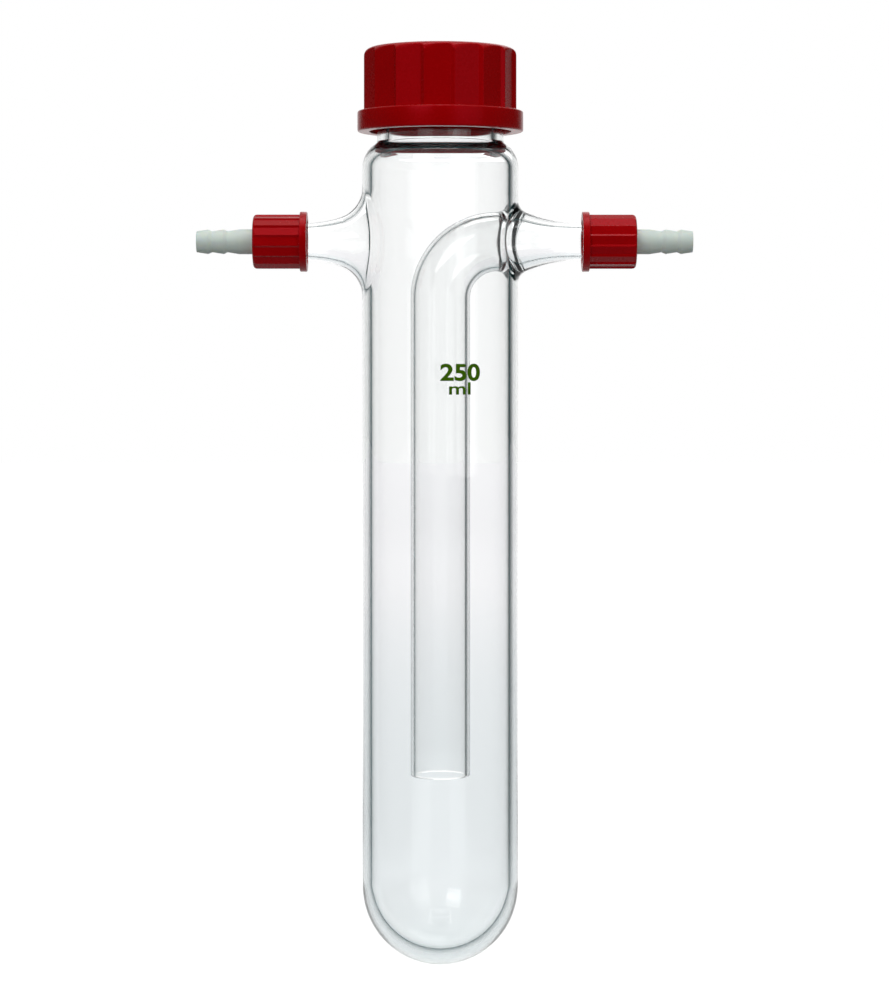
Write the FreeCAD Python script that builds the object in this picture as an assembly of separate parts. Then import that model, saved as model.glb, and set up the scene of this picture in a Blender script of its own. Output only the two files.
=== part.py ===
"""Round-bottomed cold trap vessel in borosilicate glass.

A tube with a round bottom carries a threaded neck with a fluted screw cap on
top, and two trumpet-flared side arms with small threaded ends.  A wide dip
tube is ring-sealed into the wall at the right arm, bends down to the middle
of the vessel and ends open above the bottom.  Each side arm ends in a fluted
cap with an aperture, which clamps a barbed hose connector on a sealing ring.

Units are millimetres and +Z is up.  The origin lies on the vessel's axis in
the middle of the straight wall where a lab clamp grips it.  The side arms lie
along X, and the front of the vessel faces -Y.
"""
import FreeCAD
import Part
import math
import os

from FreeCAD import Rotation, Vector

# ---- Vessel: heights are measured from the axis of the side arms ----
CLAMP_TO_ARMS = 60.0         # from the clamp's grip (the origin) up to the arm axis
BODY_DIAMETER = 50.0         # outside of the vessel's wall
BODY_WALL = 3.0              # glass of the straight wall
BOTTOM_WALL = 4.4            # glass at the lowest point, thicker than the wall
ARMS_TO_BOTTOM = 232.2       # from the arm axis down to the lowest point
ARMS_TO_HEAD_SEAM = 24.0     # from the arm axis down to the head's fusion line
ARMS_TO_SHOULDER = 23.7      # from the arm axis up to where the shoulder starts
SHOULDER_ROUND = 9.0         # outside radius of the shoulder
SHOULDER_INNER_ROUND = 5.5   # inside radius of the shoulder
ARMS_TO_RIM = 56.4           # from the arm axis up to the neck's rim
NECK_DIAMETER = 40.6         # core of the neck, under the thread
NECK_WALL = 3.8              # glass of the neck
NECK_BLEND = 1.2             # outside fillet from shoulder to neck
NECK_INNER_BLEND = 4.0       # inside blend from shoulder to neck
NECK_SEAM_RISE = 0.6         # fusion line of the neck above that fillet
RIM_BEVEL = 0.6              # eased edges of the neck's rim

# ---- Side arms: lengths are measured from the vessel's outer wall ----
ARM_DIAMETER = 11.8          # outside of the straight arm tube, under the thread
ARM_BORE = 9.0               # inside of the arm tube
ARM_RIM_BEVEL = 0.3          # eased edges of an arm's rim
LEFT_LENGTH = 29.7           # from the wall to the left arm's rim
RIGHT_LENGTH = 32.5          # from the wall to the right arm's rim
TAPER_LENGTH = 19.5          # from the wall to where an arm becomes a straight tube
LEFT_SWELL = 42.0            # sweep radius of the left arm's outer flare
LEFT_BORE_SWELL = 52.0       # sweep radius of the left arm's inner flare
LEFT_FLARE = 10.5            # fillet from the vessel's outside to the left arm
LEFT_BORE_FLARE = 13.0       # fillet from the vessel's inside to the left bore
LEFT_SEAM_OUT = 11.0         # from the wall to the left arm tube's fusion line
RIGHT_SWELL = 42.0           # sweep radius of the right arm's outer flare
RIGHT_FLARE = 4.0            # fillet from the vessel's outside to the right arm
RIGHT_SEAM_OUT = 9.0         # from the wall to the right arm tube's fusion line
WAIST_BORE = 12.4            # bore of the ring seal just outside the wall
WAIST_OUT = 2.5              # from the wall to that waist

# ---- Dip tube ----
DIP_DIAMETER = 19.0          # outside of the dip tube
DIP_WALL = 1.4               # glass of the dip tube
ARMS_TO_DIP_END = 171.6      # from the arm axis down to its open end
DIP_EDGE_BEVEL = 0.3         # eased edges of the open end
SEAL_STUB = 3.8              # straight length between the bend and the vessel's inner wall
SEAL_FLARE = 4.2             # sweep radius where that length flares onto the wall
SEAL_FILLET = 0.6            # fillet where the flare meets the wall

# ---- Large screw cap and its seal ----
CAP_DIAMETER = 49.6          # over the crests of the flutes
CAP_FLUTE_DEPTH = 0.9        # how far a flute cuts below the crest
CAP_FLUTES = 16              # number of flutes
CAP_FLUTE_STEP = 2.9         # degrees over which a flute steps back out
CAP_FLUTE_START = 10.75      # degrees from the front to one step's crest
CAP_HEIGHT = 26.8            # overall height
CAP_FLANGE_DIAMETER = 53.2   # collar round the open end
CAP_FLANGE_HEIGHT = 6.6      # height of that collar
CAP_FLANGE_BEVEL = 0.6       # its eased edges
CAP_TOP_WALL = 2.6           # plastic over the seal
CAP_TOP_ROUND = 3.0          # rounded top edge
CAP_BORE = 45.6              # inside of the skirt
CAP_PANEL_DIAMETER = 38.0    # shallow recess in the top
CAP_PANEL_DEPTH = 0.5        # depth of that recess
SEAL_DIAMETER = 43.0         # silicone disc under the cap's top
SEAL_THICKNESS = 2.2         # its thickness
FACING_DIAMETER = 42.0       # inert facing bonded under the silicone
FACING_THICKNESS = 0.8       # its thickness

# ---- Small aperture caps ----
SMALL_CAP_DIAMETER = 17.6    # over the crests of the flutes
SMALL_FLUTE_DEPTH = 0.45     # how far a flute cuts below the crest
SMALL_FLUTES = 16            # number of flutes
SMALL_FLUTE_STEP = 4.0       # degrees over which a flute steps back out
SMALL_FLUTE_START = 12.0     # degrees from the front to one step's crest
SMALL_CAP_LENGTH = 17.3      # overall length
SMALL_FLANGE_DIAMETER = 19.3  # collar round the open end
SMALL_FLANGE_LENGTH = 2.3    # length of that collar
SMALL_FLANGE_BEVEL = 0.3     # its eased edges
SMALL_END_WALL = 1.8         # plastic of the end that clamps the connector
SMALL_END_ROUND = 1.3        # rounded outer edge of that end
SMALL_CAP_BORE = 14.4        # inside of the skirt
APERTURE_DIAMETER = 9.8      # hole that the connector passes through

# ---- Hose connectors and sealing rings ----
RING_DIAMETER = 12.4         # sealing ring between the arm's rim and the connector
RING_BORE = 8.0              # its hole
RING_THICKNESS = 2.0         # its thickness
FOOT_DIAMETER = 12.0         # connector's flange, clamped under the cap's end
FOOT_THICKNESS = 1.5         # its thickness
APERTURE_GAP = 0.3           # round the connector's collar, in the aperture
STEM_DIAMETER = 8.0          # plain stem outside the cap
HOSE_BORE = 4.8              # hole through the connector
EXPOSED_LENGTH = 18.2        # connector outside the cap
BARB_CREST_DIAMETER = 7.9    # over each barb
BARB_ROOT_DIAMETER = 6.75    # at the tip and behind each barb
BARB_RAMP = 3.7              # length of each barb's ramp
BARB_STEP = 1.3              # length of the step down behind it
BARB_COUNT = 2               # number of barbs
TIP_CHAMFER = 0.35           # inner edge of the connector's tip

FLUTE_LAND = 0.05            # overshoot of the flutes' crests, which leaves a round land
FRONT = -90.0                # direction of the front, in degrees from +X
LARGE = 400.0                # side of the blocks that cut the glass at a seam

# ---- Positions that follow from the sizes above ----
ARM_Z = CLAMP_TO_ARMS
BOTTOM_Z = ARM_Z - ARMS_TO_BOTTOM
HEAD_SEAM_Z = ARM_Z - ARMS_TO_HEAD_SEAM
SHOULDER_Z = ARM_Z + ARMS_TO_SHOULDER
RIM_Z = ARM_Z + ARMS_TO_RIM
DIP_END_Z = ARM_Z - ARMS_TO_DIP_END
BODY_RADIUS = BODY_DIAMETER / 2
BODY_INNER_RADIUS = BODY_RADIUS - BODY_WALL
BOTTOM_SEAM_Z = BOTTOM_Z + BOTTOM_WALL + BODY_INNER_RADIUS
ARM_ROOT = BODY_INNER_RADIUS - BODY_WALL
STRAIGHT_FROM = BODY_RADIUS + TAPER_LENGTH
LEFT_REACH = BODY_RADIUS + LEFT_LENGTH
RIGHT_REACH = BODY_RADIUS + RIGHT_LENGTH
LEFT_SEAM = BODY_RADIUS + LEFT_SEAM_OUT
RIGHT_SEAM = BODY_RADIUS + RIGHT_SEAM_OUT
WAIST_REACH = BODY_RADIUS + WAIST_OUT
DIP_BEND = BODY_INNER_RADIUS - SEAL_STUB
NECK_RADIUS = NECK_DIAMETER / 2
CAP_TOP_Z = RIM_Z + FACING_THICKNESS + SEAL_THICKNESS + CAP_TOP_WALL


def flat(axial, radial):
    """A point of a profile for a lathe about X, at the arms' height."""
    return Vector(axial, 0, ARM_Z + radial)


def line(start, end):
    """A straight edge."""
    return Part.makeLine(start, end)


def arc(start, middle, end):
    """A circular edge through three points."""
    return Part.Arc(start, middle, end).toShape()


def polyline(points):
    """Straight edges through the points and back to the first."""
    ends = points[1:] + points[:1]
    return [line(a, b) for a, b in zip(points, ends)]


def lathe(edges, base, direction):
    """The solid that a closed profile sweeps in a full turn about an axis."""
    face = Part.Face(Part.Wire(edges))
    return face.revolve(base, direction, 360.0)


def polar(centre, radius, angle):
    """A point of the YZ plane at an angle, in radians, from +Y."""
    return centre + Vector(0, radius * math.cos(angle), radius * math.sin(angle))


def edges_where(shape, test):
    """The edges, apart from the poles of spheres, whose sampled points all pass."""
    real = [e for e in shape.Edges if not e.Degenerated]
    return [e for e in real if all(test(p) for p in e.discretize(9))]


def from_arm_axis(point):
    """Distance of a point from the common axis of the side arms."""
    return math.hypot(point.y, point.z - ARM_Z)


def from_vessel_axis(point):
    """Distance of a point from the vessel's axis."""
    return math.hypot(point.x, point.y)


def block(x_low, x_high, z_low, z_high):
    """A wide box between two X planes and two Z planes."""
    corner = Vector(x_low, -LARGE / 2, z_low)
    return Part.makeBox(x_high - x_low, LARGE, z_high - z_low, corner)


# ---------------------------------------------------------------- vessel

def neck_start(radius, shoulder, neck_radius, blend):
    """Angle and height where the shoulder's arc runs into the neck's blend."""
    across = neck_radius + blend - (radius - shoulder)
    rise = math.sqrt((shoulder + blend) ** 2 - across ** 2)
    return math.atan2(rise, across), SHOULDER_Z + rise


def vessel_core(radius, lowest, shoulder, neck_radius, blend, top):
    """Solid of revolution: round bottom, straight wall, shoulder and neck."""
    angle, neck_z = neck_start(radius, shoulder, neck_radius, blend)
    bowl = Vector(0, 0, lowest + radius)
    turn = Vector(0, radius - shoulder, SHOULDER_Z)
    hollow = Vector(0, neck_radius + blend, neck_z)
    bottom = Vector(0, 0, lowest)
    wall_low = polar(bowl, radius, 0)
    wall_high = polar(turn, shoulder, 0)
    meeting = polar(turn, shoulder, angle)
    neck_low = Vector(0, neck_radius, neck_z)
    neck_high = Vector(0, neck_radius, top)
    centre = Vector(0, 0, top)
    edges = [
        arc(bottom, polar(bowl, radius, -math.pi / 4), wall_low),
        line(wall_low, wall_high),
        arc(wall_high, polar(turn, shoulder, angle / 2), meeting),
        arc(meeting, polar(hollow, blend, math.pi + angle / 2), neck_low),
        line(neck_low, neck_high),
        line(neck_high, centre),
        line(centre, bottom),
    ]
    return lathe(edges, Vector(), Vector(0, 0, 1))


def swept_arm(side, radius, swell, inner_end, reach):
    """Arm along X: a straight tube's outline that swells towards the vessel.

    side is -1 for the left arm and 1 for the right one.
    """
    run = STRAIGHT_FROM - inner_end
    half = run / 2
    foot = radius + swell - math.sqrt(swell ** 2 - run ** 2)
    waist = radius + swell - math.sqrt(swell ** 2 - half ** 2)
    start = flat(side * inner_end, foot)
    middle = flat(side * (STRAIGHT_FROM - half), waist)
    tangent = flat(side * STRAIGHT_FROM, radius)
    tip = flat(side * reach, radius)
    edges = [
        arc(start, middle, tangent),
        line(tangent, tip),
        line(tip, flat(side * reach, 0)),
        line(flat(side * reach, 0), flat(side * inner_end, 0)),
        line(flat(side * inner_end, 0), start),
    ]
    return lathe(edges, Vector(0, 0, ARM_Z), Vector(1, 0, 0))


def blend_onto_wall(shape, wall_radius, side, radius):
    """Round the edge where an arm meets the cylinder of the vessel's wall."""
    def on_joint(point):
        near_wall = abs(from_vessel_axis(point) - wall_radius) < 0.01
        on_side = side * point.x > 0
        return near_wall and on_side and 0 < from_arm_axis(point) < wall_radius * 0.9
    return shape.makeFillet(radius, edges_where(shape, on_joint))


def glass_outside():
    """Outer form of the glass, with both arms flared out of the wall."""
    core = vessel_core(BODY_RADIUS, BOTTOM_Z, SHOULDER_ROUND,
                       NECK_RADIUS, NECK_BLEND, RIM_Z)
    arm_radius = ARM_DIAMETER / 2
    left = swept_arm(-1, arm_radius, LEFT_SWELL, ARM_ROOT, LEFT_REACH)
    right = swept_arm(1, arm_radius, RIGHT_SWELL, ARM_ROOT, RIGHT_REACH)
    outside = core.fuse(left).fuse(right).removeSplitter()
    outside = blend_onto_wall(outside, BODY_RADIUS, -1, LEFT_FLARE)
    return blend_onto_wall(outside, BODY_RADIUS, 1, RIGHT_FLARE)


def flared_stub():
    """End of the dip tube as a solid rod that flares out onto the inner wall."""
    radius = DIP_DIAMETER / 2
    half = SEAL_STUB / 2
    rise = SEAL_FLARE - math.sqrt(SEAL_FLARE ** 2 - SEAL_STUB ** 2)
    half_rise = SEAL_FLARE - math.sqrt(SEAL_FLARE ** 2 - half ** 2)
    start = flat(DIP_BEND, radius)
    flared = flat(BODY_INNER_RADIUS, radius + rise)
    edges = [
        arc(start, flat(DIP_BEND + half, radius + half_rise), flared),
        line(flared, flat(RIGHT_REACH, radius + rise)),
        line(flat(RIGHT_REACH, radius + rise), flat(RIGHT_REACH, 0)),
        line(flat(RIGHT_REACH, 0), flat(DIP_BEND, 0)),
        line(flat(DIP_BEND, 0), start),
    ]
    return lathe(edges, Vector(0, 0, ARM_Z), Vector(1, 0, 0))


def glass_inside():
    """The space in the vessel and its left arm, less the ring seal's stub."""
    core = vessel_core(BODY_INNER_RADIUS, BOTTOM_Z + BOTTOM_WALL,
                       SHOULDER_INNER_ROUND, NECK_RADIUS - NECK_WALL,
                       NECK_INNER_BLEND, RIM_Z + CAP_HEIGHT)
    bore_end = LEFT_REACH + SMALL_CAP_LENGTH
    inner_end = ARM_ROOT - BODY_WALL
    bore = swept_arm(-1, ARM_BORE / 2, LEFT_BORE_SWELL, inner_end, bore_end)
    inside = core.fuse(bore).removeSplitter()
    inside = blend_onto_wall(inside, BODY_INNER_RADIUS, -1, LEFT_BORE_FLARE)
    inside = inside.cut(flared_stub())
    return blend_onto_wall(inside, BODY_INNER_RADIUS, 1, SEAL_FILLET)


def ring_seal_bore():
    """The right arm's bore, from the dip tube through the seal's waist."""
    dip_radius = DIP_DIAMETER / 2 - DIP_WALL
    waist = WAIST_BORE / 2
    bore_end = RIGHT_REACH + SMALL_CAP_LENGTH
    points = [
        flat(DIP_BEND, dip_radius),
        flat(WAIST_REACH, waist),
        flat(STRAIGHT_FROM, ARM_BORE / 2),
    ]
    curve = Part.BSplineCurve()
    slopes = [Vector(1, 0, 0), Vector(1, 0, -0.25), Vector(1, 0, 0)]
    curve.interpolate(Points=points, Tangents=slopes, TangentFlags=[True] * 3)
    edges = [
        curve.toShape(),
        line(points[-1], flat(bore_end, ARM_BORE / 2)),
        line(flat(bore_end, ARM_BORE / 2), flat(bore_end, 0)),
        line(flat(bore_end, 0), flat(DIP_BEND, 0)),
        line(flat(DIP_BEND, 0), points[0]),
    ]
    return lathe(edges, Vector(0, 0, ARM_Z), Vector(1, 0, 0))


def neck_seam_z():
    """Height of the fusion line between the shoulder and the threaded neck."""
    outer = neck_start(BODY_RADIUS, SHOULDER_ROUND, NECK_RADIUS, NECK_BLEND)
    return outer[1] + NECK_SEAM_RISE


def ease_rim(shape, rim_test, bevel):
    """Bevel both edges of an annular rim face."""
    return shape.makeChamfer(bevel, edges_where(shape, rim_test))


def glass_pieces():
    """The blown glass, parted at the lines where its tubes are fused."""
    shell = glass_outside().cut(glass_inside()).cut(ring_seal_bore())
    seam_z = neck_seam_z()
    low = BOTTOM_Z - LARGE
    head = block(-LEFT_SEAM, RIGHT_SEAM, HEAD_SEAM_Z, seam_z)
    tube = block(-LARGE, LARGE, BOTTOM_SEAM_Z, HEAD_SEAM_Z)
    bottom = block(-LARGE, LARGE, low, BOTTOM_SEAM_Z)
    left = shell.common(block(-LARGE, -LEFT_SEAM, low, seam_z))
    right = shell.common(block(RIGHT_SEAM, LARGE, low, seam_z))
    neck = shell.common(block(-LARGE, LARGE, seam_z, RIM_Z + LARGE))
    return {
        "vessel_head": shell.common(head),
        "vessel_tube": shell.common(tube),
        "round_bottom": shell.common(bottom),
        "threaded_neck": ease_rim(
            neck, lambda p: abs(p.z - RIM_Z) < 0.001, RIM_BEVEL),
        "left_arm": ease_rim(
            left, lambda p: abs(p.x + LEFT_REACH) < 0.001, ARM_RIM_BEVEL),
        "right_arm": ease_rim(
            right, lambda p: abs(p.x - RIGHT_REACH) < 0.001, ARM_RIM_BEVEL),
    }


def dip_path_solid(radius):
    """Rod along the dip tube's path: a stretch down, then a bend to +X."""
    bend_z = ARM_Z - DIP_BEND
    down = Part.makeCylinder(radius, bend_z - DIP_END_Z, Vector(0, 0, DIP_END_Z))
    disc = Part.Face(Part.Wire(Part.makeCircle(radius, Vector(0, 0, bend_z))))
    bend = disc.revolve(Vector(DIP_BEND, 0, bend_z), Vector(0, 1, 0), 90.0)
    return down.fuse(bend).removeSplitter()


def dip_tube():
    """The bent dip tube, from the ring seal to its open end."""
    outer = DIP_DIAMETER / 2
    tube = dip_path_solid(outer).cut(dip_path_solid(outer - DIP_WALL))
    return ease_rim(tube, lambda p: abs(p.z - DIP_END_Z) < 0.001, DIP_EDGE_BEVEL)


# ---------------------------------------------------------------- caps

def fluted_prism(crest, depth, count, step, start, height):
    """Prism of sawtooth flutes: each flat deepens, then steps back out."""
    pitch = 360.0 / count
    points = []
    for index in range(count):
        first = math.radians(start + index * pitch)
        last = math.radians(start + (index + 1) * pitch - step)
        for angle, radius in ((first, crest), (last, crest - depth)):
            points.append(Vector(radius * math.cos(angle), radius * math.sin(angle), 0))
    face = Part.Face(Part.Wire(polyline(points)))
    return face.extrude(Vector(0, 0, height))


def fluted_cap(diameter, depth, count, step, start, height, flange_diameter,
               flange_height, flange_bevel, end_wall, end_round, bore):
    """Screw cap along +Z, open at the bottom, closed at its fluted end."""
    body = Part.makeCylinder(diameter / 2, height)
    top = edges_where(body, lambda p: abs(p.z - height) < 0.001)
    body = body.makeFillet(end_round, top)
    crest = diameter / 2 + FLUTE_LAND
    prism = fluted_prism(crest, depth + FLUTE_LAND, count, step, start, height)
    flange = Part.makeCylinder(flange_diameter / 2, flange_height)
    rims = edges_where(flange, lambda p: math.hypot(p.x, p.y) > flange_diameter * 0.49
                       and min(abs(p.z), abs(p.z - flange_height)) < 0.001)
    flange = flange.makeChamfer(flange_bevel, rims)
    room = Part.makeCylinder(bore / 2, height - end_wall)
    return body.common(prism).fuse(flange).cut(room)


def screw_cap():
    """Large closed cap, with a shallow round panel sunk in its top."""
    cap = fluted_cap(CAP_DIAMETER, CAP_FLUTE_DEPTH, CAP_FLUTES, CAP_FLUTE_STEP,
                     FRONT + CAP_FLUTE_START, CAP_HEIGHT, CAP_FLANGE_DIAMETER,
                     CAP_FLANGE_HEIGHT, CAP_FLANGE_BEVEL, CAP_TOP_WALL,
                     CAP_TOP_ROUND, CAP_BORE)
    panel = Part.makeCylinder(CAP_PANEL_DIAMETER / 2, CAP_TOP_WALL,
                              Vector(0, 0, CAP_HEIGHT - CAP_PANEL_DEPTH))
    cap = cap.cut(panel)
    cap.translate(Vector(0, 0, CAP_TOP_Z - CAP_HEIGHT))
    return cap


def cap_seal():
    """Silicone disc that the cap's top presses down."""
    low = RIM_Z + FACING_THICKNESS
    return Part.makeCylinder(SEAL_DIAMETER / 2, SEAL_THICKNESS, Vector(0, 0, low))


def cap_seal_facing():
    """Inert facing under the silicone, lying on the neck's rim."""
    return Part.makeCylinder(FACING_DIAMETER / 2, FACING_THICKNESS, Vector(0, 0, RIM_Z))


def onto_arm(shape, side, distance):
    """Turn a part made along +Z outwards along an arm, at a distance out."""
    shape.rotate(Vector(), Vector(0, 1, 0), side * 90.0)
    shape.translate(Vector(side * distance, 0, ARM_Z))
    return shape


def small_cap(side, rim):
    """Aperture cap on an arm whose glass rim is at the given distance."""
    cap = fluted_cap(SMALL_CAP_DIAMETER, SMALL_FLUTE_DEPTH, SMALL_FLUTES,
                     SMALL_FLUTE_STEP, FRONT + SMALL_FLUTE_START,
                     SMALL_CAP_LENGTH, SMALL_FLANGE_DIAMETER,
                     SMALL_FLANGE_LENGTH, SMALL_FLANGE_BEVEL, SMALL_END_WALL,
                     SMALL_END_ROUND, SMALL_CAP_BORE)
    hole = Part.makeCylinder(APERTURE_DIAMETER / 2, SMALL_CAP_LENGTH)
    end = rim + RING_THICKNESS + FOOT_THICKNESS + SMALL_END_WALL
    return onto_arm(cap.cut(hole), side, end - SMALL_CAP_LENGTH)


def sealing_ring(side, rim):
    """Flat ring between an arm's rim and its hose connector."""
    ring = Part.makeCylinder(RING_DIAMETER / 2, RING_THICKNESS)
    hole = Part.makeCylinder(RING_BORE / 2, RING_THICKNESS)
    return onto_arm(ring.cut(hole), side, rim)


def connector_outline():
    """Radius and distance pairs of the connector, from its foot to its tip."""
    collar = APERTURE_DIAMETER / 2 - APERTURE_GAP
    stem_start = FOOT_THICKNESS + SMALL_END_WALL
    length = stem_start + EXPOSED_LENGTH
    root = BARB_ROOT_DIAMETER / 2
    outline = [(FOOT_DIAMETER / 2, 0), (FOOT_DIAMETER / 2, FOOT_THICKNESS),
               (collar, FOOT_THICKNESS), (collar, stem_start),
               (STEM_DIAMETER / 2, stem_start)]
    barbs_start = length - BARB_COUNT * (BARB_RAMP + BARB_STEP)
    outline.append((STEM_DIAMETER / 2, barbs_start - BARB_RAMP))
    for index in range(BARB_COUNT):
        behind = barbs_start + index * (BARB_RAMP + BARB_STEP)
        outline.append((root, behind))
        outline.append((BARB_CREST_DIAMETER / 2, behind + BARB_STEP))
    outline.append((root, length))
    return outline, length


def hose_connector(side, rim):
    """Barbed straight connector with its foot on the sealing ring."""
    outline, length = connector_outline()
    bore = HOSE_BORE / 2
    outline.append((bore + TIP_CHAMFER, length))
    outline.append((bore, length - TIP_CHAMFER))
    outline.append((bore, 0))
    points = [Vector(radius, 0, height) for radius, height in outline]
    body = lathe(polyline(points), Vector(), Vector(0, 0, 1))
    return onto_arm(body, side, rim + RING_THICKNESS)


def main():
    """Build every piece and write one STEP file for each."""
    pieces = glass_pieces()
    pieces["dip_tube"] = dip_tube()
    pieces["screw_cap"] = screw_cap()
    pieces["cap_seal"] = cap_seal()
    pieces["cap_seal_facing"] = cap_seal_facing()
    for name, side, rim in (("left", -1, LEFT_REACH), ("right", 1, RIGHT_REACH)):
        pieces[name + "_sealing_ring"] = sealing_ring(side, rim)
        pieces[name + "_hose_connector"] = hose_connector(side, rim)
        pieces[name + "_cap"] = small_cap(side, rim)
    os.makedirs("parts", exist_ok=True)
    for name, shape in pieces.items():
        shape.exportStep("parts/" + name + ".step")


main()
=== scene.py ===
"""Looks of a round-bottomed cold trap in clear glass.

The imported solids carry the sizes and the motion.  This script dresses them:
the fused glass becomes one continuous blown surface with its screw threads,
the caps get their flutes and inner threads, and every finish is procedural.

Sizes inside the classes are millimetres, as on a maker's drawing; meshes are
written in metres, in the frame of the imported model.
"""
import logging
import math
from dataclasses import dataclass, field
from enum import Enum
from functools import cache
from typing import Callable, Sequence

import bmesh
import bpy
import numpy as np
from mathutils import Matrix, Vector


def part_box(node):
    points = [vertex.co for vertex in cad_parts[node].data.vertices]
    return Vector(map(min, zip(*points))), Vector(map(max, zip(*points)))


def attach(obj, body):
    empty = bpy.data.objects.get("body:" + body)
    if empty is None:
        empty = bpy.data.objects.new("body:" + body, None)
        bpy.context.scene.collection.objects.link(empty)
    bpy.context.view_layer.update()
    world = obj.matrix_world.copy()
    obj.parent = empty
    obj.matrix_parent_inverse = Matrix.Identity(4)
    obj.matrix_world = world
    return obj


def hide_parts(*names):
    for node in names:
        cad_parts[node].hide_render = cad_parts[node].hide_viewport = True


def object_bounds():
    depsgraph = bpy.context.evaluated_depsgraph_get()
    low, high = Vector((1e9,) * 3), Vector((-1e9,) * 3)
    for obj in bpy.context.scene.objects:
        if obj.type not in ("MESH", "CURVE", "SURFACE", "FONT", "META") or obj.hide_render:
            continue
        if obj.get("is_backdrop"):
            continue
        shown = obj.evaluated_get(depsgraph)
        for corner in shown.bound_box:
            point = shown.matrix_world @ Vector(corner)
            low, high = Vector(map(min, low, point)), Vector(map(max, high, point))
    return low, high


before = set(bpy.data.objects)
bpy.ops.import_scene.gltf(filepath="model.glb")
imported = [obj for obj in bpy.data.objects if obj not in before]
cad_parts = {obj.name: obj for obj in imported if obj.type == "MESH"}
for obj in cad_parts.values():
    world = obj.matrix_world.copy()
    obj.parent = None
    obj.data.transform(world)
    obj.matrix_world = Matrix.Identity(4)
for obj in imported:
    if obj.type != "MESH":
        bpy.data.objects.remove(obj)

LOG = logging.getLogger("cold_trap")
MM = 0.001
TURN = 2.0 * math.pi
GUARD = 0.12
WELD = 2e-6
WHITE = (1.0, 1.0, 1.0)
COLUMNS = 128
PORT_STEPS = COLUMNS // 4
GLASS_NODES = ("vessel_head", "vessel_tube", "round_bottom", "threaded_neck", "left_arm",
               "right_arm", "dip_tube")

Colour = tuple[float, float, float]
Socket = bpy.types.NodeSocket
Inputs = dict[str | int, object]


class Side(Enum):
    """The two ends of the side arms' common axis."""

    LEFT = -1
    RIGHT = 1

    @property
    def word(self) -> str:
        """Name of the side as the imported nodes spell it."""
        return self.name.lower()


class Ray(Enum):
    """Light Path outputs that pick out what a ray has met so far."""

    CAMERA = "Is Camera Ray"
    GLOSSY = "Is Glossy Ray"
    TRANSMISSION = "Is Transmission Ray"
    SHADOW = "Is Shadow Ray"


# ------------------------------------------------------------------ surfaces

def smooth(amount: np.ndarray) -> np.ndarray:
    """Ease from 0 to 1: three times the square less twice the cube, clipped.

    Args:
        amount: Values to ease, of any shape.

    Returns:
        The eased values, all between 0 and 1.
    """
    held = np.clip(amount, 0.0, 1.0)
    return held * held * (3.0 - 2.0 * held)


def arc_points(centre: Sequence[float], radius: float, start: float,
               stop: float, count: int) -> np.ndarray:
    """Points of a circle: the centre plus radius times cosine and sine.

    Args:
        centre: Radial and axial place of the circle's centre.
        radius: Its radius.
        start: First angle in degrees.
        stop: Last angle in degrees.
        count: How many points.

    Returns:
        An array of radial and axial pairs.
    """
    angle = np.radians(np.linspace(start, stop, count))
    return np.stack([centre[0] + radius * np.cos(angle),
                     centre[1] + radius * np.sin(angle)], axis=1)


def shares(count: int, guard: float = 0.02) -> np.ndarray:
    """Even shares from 0 to 1 as a column, with one more close to each end.

    The close ones keep the shading of a long face from bending where a
    rounded part begins.

    Args:
        count: How many even shares.
        guard: Distance of the close ones from the ends.

    Returns:
        The shares, in rising order, as a column.
    """
    even = np.linspace(0.0, 1.0, count)
    return np.unique(np.concatenate([even, [guard, 1.0 - guard]]))[:, None]


def run_points(start: Sequence[float], stop: Sequence[float], count: int) -> np.ndarray:
    """Evenly spaced points of a straight run, with one more close to each end."""
    length = float(np.linalg.norm(np.subtract(stop, start)))
    share = shares(count, min(0.1, GUARD / max(length, GUARD)))
    return np.asarray(start) * (1.0 - share) + np.asarray(stop) * share


def join_runs(*runs: np.ndarray) -> np.ndarray:
    """One outline from several, dropping points that repeat the one before."""
    points = np.concatenate(runs)
    apart = np.linalg.norm(np.diff(points, axis=0), axis=1) > 1e-6
    return points[np.concatenate([[True], apart])]


@dataclass(frozen=True)
class Thread:
    """A rounded screw ridge round a cylinder, counted from its open end."""

    first: float
    pitch: float
    turns: float
    width: float
    height: float
    fade: float = 0.1
    slope: float = 0.3

    def ridge(self, depth: np.ndarray, turn: np.ndarray) -> np.ndarray:
        """Height of the ridge over the cylinder.

        The ridge's middle lies at first plus pitch times the turn count.  The
        height falls off smoothly towards half the ridge's width, and fades in
        and out over a share of a turn at both ends.

        Args:
            depth: Distance of each point from the open end.
            turn: Angle round the axis of each point, as a share of a turn.

        Returns:
            The ridge's height at each point.
        """
        count = np.round((depth - self.first) / self.pitch - turn) + turn
        off = np.abs(depth - self.first - self.pitch * count)
        ends = smooth(np.minimum(count, self.turns - count) / self.fade)
        side = smooth((self.width / 2.0 - off) / (self.width * self.slope))
        return self.height * ends * side


def add_object(name: str, data: bpy.types.ID) -> bpy.types.Object:
    """Make an object from its data and link it to the scene."""
    thing = bpy.data.objects.new(name, data)
    bpy.context.scene.collection.objects.link(thing)
    return thing


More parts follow.
